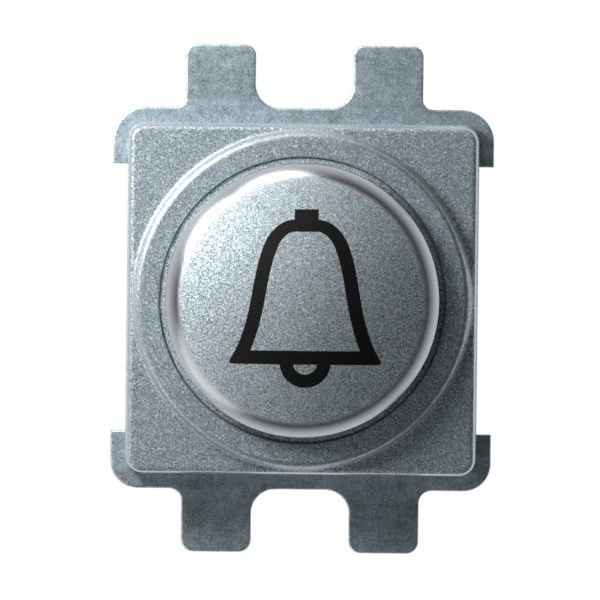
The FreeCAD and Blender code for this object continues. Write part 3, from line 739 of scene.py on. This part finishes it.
plateLow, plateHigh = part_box("lug_plate")
plate = dict(side=10.9 * mm, strip=11.95 * mm, wing=11.92 * mm, wingStart=8.37 * mm, lugCentre=5.25 * mm,
             lugHalf=2.19 * mm, lugEnd=15.9 * mm, innerFillet=1.5 * mm, edge=0.14 * mm, hole=10.0 * mm,
             screw=8.9 * mm, screwHole=0.9 * mm, roundSteps=12, holeSteps=144, screwSteps=32)
plateEnds = dict(upper=dict(wingCorner=2.05 * mm, lugCorner=0.65 * mm, outerFillet=0.6 * mm),
                 lower=dict(wingCorner=1.72 * mm, lugCorner=0.78 * mm, outerFillet=0.8 * mm))


def plateQuarter(end):
    # Corners and their radii from the right side to the middle of an end
    outer = plate["lugCentre"] + plate["lugHalf"]
    inner = plate["lugCentre"] - plate["lugHalf"]
    return [(plate["side"], plate["wingStart"], 0), (plate["wing"], plate["wingStart"], 0),
            (plate["wing"], plate["strip"], end["wingCorner"]), (outer, plate["strip"], end["outerFillet"]),
            (outer, plate["lugEnd"], end["lugCorner"]), (inner, plate["lugEnd"], end["lugCorner"]),
            (inner, plate["strip"], plate["innerFillet"])]


def plateOutline():
    # The quarters follow each other round the plate, every second one mirrored and reversed
    upper = np.array(plateQuarter(plateEnds["upper"]))
    lower = np.array(plateQuarter(plateEnds["lower"]))
    corners = np.concatenate([upper, upper[::-1] * [-1, 1, 1], lower * [-1, -1, 1],
                              lower[::-1] * [1, -1, 1]])
    return roundedPath(corners[:, :2], corners[:, 2], plate["roundSteps"], closed=True)


def makeLugPlate():
    # A sheet with the pocket's opening, four screw holes and the two key notches
    outlines = [plateOutline(), circleOutline(plate["hole"], plate["holeSteps"])]
    for x in (-plate["screw"], plate["screw"]):
        for z in (-plate["screw"], plate["screw"]):
            outlines.append(circleOutline(plate["screwHole"], plate["screwSteps"], x, z))
    sheet = flatObject("lug_sheet", outlines, plateHigh.y - plateLow.y, plateLow.y, plate["edge"])
    room = keyway["plateRoom"]
    return cutKeyway(sheet, keyway["width"] + 2 * room, keyway["reach"] + room, plateLow.y - mm,
                     plateHigh.y + mm)


settle(makeLugPlate(), "module", "lug_plate", platePlating)
print("lug plate made")


# Pieces that keep their solid

kept = dict(switch_base=basePlastic, cap_carrier=plungerPlastic, sealing_ring=sealRubber,
            return_spring=springSteel, contact_bridge=contactBronze, bridge_tip_left=tipSilver,
            bridge_tip_right=tipSilver, retaining_ring=springSteel, fixed_contact_left=contactBrass,
            fixed_contact_right=contactBrass, fixed_tip_left=tipSilver, fixed_tip_right=tipSilver,
            wire_clamp_left=clampSteel, wire_clamp_right=clampSteel, terminal_screws=screwSteel,
            case_screws=screwSteel)
for node, material in kept.items():
    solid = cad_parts[node]
    solid.data.materials.clear()
    solid.data.materials.append(material)
print("carried-over pieces painted")


# Pieces behind the plate with their sharp edges taken off

softened = dict(switch_base=dict(edge=0.14 * mm, slot="base_plastic"),
                wire_clamp_left=dict(edge=0.06 * mm, slot="clamp_steel"),
                wire_clamp_right=dict(edge=0.06 * mm, slot="clamp_steel"),
                terminal_screws=dict(edge=0.1 * mm, slot="screw_steel"),
                case_screws=dict(edge=0.07 * mm, slot="screw_steel"),
                fixed_contact_left=dict(edge=0.04 * mm, slot="contact_brass"),
                fixed_contact_right=dict(edge=0.04 * mm, slot="contact_brass"))
softening = dict(merge=1e-6, flatAngle=math.radians(0.4), creaseAngle=math.radians(40), segments=2)


def softenNode(node, edge, slot):
    # A copy of the piece, merged, its flat faces made whole again, and its edges bevelled
    piece = bpy.data.objects.new(node + "Soft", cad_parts[node].data.copy())
    scene.collection.objects.link(piece)
    work = bmesh.new()
    work.from_mesh(piece.data)
    bmesh.ops.remove_doubles(work, verts=work.verts, dist=softening["merge"])
    bmesh.ops.dissolve_limit(work, angle_limit=softening["flatAngle"], verts=work.verts, edges=work.edges)
    work.to_mesh(piece.data)
    work.free()
    cleanMesh(piece, mergeDistance=softening["merge"])
    bevel = piece.modifiers.new("edges", "BEVEL")
    bevel.limit_method = "ANGLE"
    bevel.angle_limit = softening["creaseAngle"]
    bevel.width = edge
    bevel.segments = softening["segments"]
    bevel.use_clamp_overlap = False
    settle(piece, "module", node, kept[node])


for node, values in softened.items():
    softenNode(node, **values)
print("edges softened")


# Floor, light and camera, with angles in degrees

stage = dict(floor=-75 * mm, floorRadius=240 * mm, fadeStart=120 * mm, floorLevel=0.8,
             floorRoughness=0.8, whiteShare=0.85, floorSteps=96)
lamps = dict(key=dict(turn=143.0, rise=29.0, distance=65 * mm, size=26 * mm, power=0.046),
             top=dict(turn=104.0, rise=24.0, distance=65 * mm, size=40 * mm, power=0.011),
             side=dict(turn=218.0, rise=25.0, distance=80 * mm, size=70 * mm, power=0.0115))
sky = dict(front=0.0, horizon=-0.3, full=0.2, back=0.88)
view = dict(pixelsPerMm=16.0, pixels=600, lens=1.2, sensor=0.036, pitch=1.2, roll=0.65, centreX=302.25,
            centreY=300.07, clipEnd=10)


def makeFloor():
    # A disc that fades to the white behind it. The camera sees it as mostly white, with the shadow
    # on it. Reflections leave it out and show the room in its place.
    turn = np.linspace(0, 2 * math.pi, stage["floorSteps"], endpoint=False)
    radius = np.array([0, stage["floorRadius"]])
    points = np.stack([np.outer(np.cos(turn), radius), np.outer(np.sin(turn), radius),
                       np.full((len(turn), len(radius)), stage["floor"])], axis=-1)
    floor = gridObject("floor", points)
    shader = Shader("floorPaint")
    shader.set(baseColor=(stage["floorLevel"],) * 3 + (1,), roughness=stage["floorRoughness"])
    paper = shader.node("ShaderNodeEmission", {}, {"Color": (1, 1, 1, 1), "Strength": 1.0})
    rays = shader.node("ShaderNodeLightPath", {}, {}, "Is Camera Ray")
    shaded = Socket(shader, shader.surface.outputs[0])
    mixed = shader.node("ShaderNodeMixShader", {}, {0: rays * stage["whiteShare"], 1: shaded, 2: paper})
    distance = shader.vector("LENGTH", shader.node("ShaderNodeTexCoord", {}, {}, "Object"), output="Value")
    fade = shader.rise(distance, stage["fadeStart"], stage["floorRadius"])
    clear = shader.node("ShaderNodeBsdfTransparent")
    faded = shader.node("ShaderNodeMixShader", {}, {0: fade, 1: mixed, 2: clear})
    shader.tree.links.new(faded.link, shader.tree.nodes["Material Output"].inputs["Surface"])
    floor.data.materials.append(shader.material)
    floor.visible_glossy = False


def makeSky():
    # A white room behind the object that darkens towards the camera's side, and white wherever
    # the camera looks past the object
    world = bpy.data.worlds.new("sky")
    scene.world = world
    world.use_nodes = True
    tree = world.node_tree
    background = tree.nodes["Background"]
    where = tree.nodes.new("ShaderNodeTexCoord")
    parts = tree.nodes.new("ShaderNodeSeparateXYZ")
    tree.links.new(where.outputs["Generated"], parts.inputs[0])
    room = tree.nodes.new("ShaderNodeMapRange")
    room.inputs["From Min"].default_value = sky["horizon"]
    room.inputs["From Max"].default_value = sky["full"]
    room.inputs["To Min"].default_value = sky["front"]
    room.inputs["To Max"].default_value = sky["back"]
    tree.links.new(parts.outputs["Y"], room.inputs["Value"])
    rays = tree.nodes.new("ShaderNodeLightPath")
    mix = tree.nodes.new("ShaderNodeMix")
    tree.links.new(rays.outputs["Is Camera Ray"], mix.inputs[0])
    tree.links.new(room.outputs["Result"], mix.inputs[2])
    mix.inputs[3].default_value = 1.0
    tree.links.new(mix.outputs[0], background.inputs["Strength"])
    background.inputs["Color"].default_value = (1, 1, 1, 1)


def makeLamp(name, turn, rise, distance, size, power):
    # A round lamp aimed at the button from a turn in the picture and a rise towards the camera
    turn = math.radians(turn)
    rise = math.radians(rise)
    direction = np.array([math.cos(turn) * math.cos(rise), -math.sin(rise),
                          math.sin(turn) * math.cos(rise)])
    lamp = bpy.data.lights.new(name, "AREA")
    lamp.shape = "DISK"
    lamp.size = size
    lamp.energy = power
    holder = bpy.data.objects.new(name, lamp)
    holder.location = direction * distance
    holder.rotation_mode = "QUATERNION"
    holder.rotation_quaternion = Vector(-direction).to_track_quat("-Z", "Y")
    holder.visible_camera = False
    scene.collection.objects.link(holder)


def makeCamera():
    # A long lens a little above the axis, turned slightly about its own axis
    camera = bpy.data.cameras.new("camera")
    camera.lens = view["lens"] / mm
    camera.sensor_width = view["sensor"] / mm
    camera.clip_end = view["clipEnd"]
    width = view["pixels"] / view["pixelsPerMm"] * mm
    distance = width * view["lens"] / view["sensor"]
    pitch = math.radians(view["pitch"])
    offsetX = (view["pixels"] / 2 - view["centreX"]) / view["pixelsPerMm"] * mm
    offsetZ = (view["centreY"] - view["pixels"] / 2) / view["pixelsPerMm"] * mm
    holder = bpy.data.objects.new("camera", camera)
    holder.location = (offsetX, block["front"] - distance * math.cos(pitch),
                       offsetZ + distance * math.sin(pitch))
    holder.rotation_mode = "ZYX"
    holder.rotation_euler = (math.pi / 2 - pitch, 0, math.radians(view["roll"]))
    scene.collection.objects.link(holder)
    scene.camera = holder


makeFloor()
makeSky()
for name, values in lamps.items():
    makeLamp(name, **values)
makeCamera()
print("stage made")
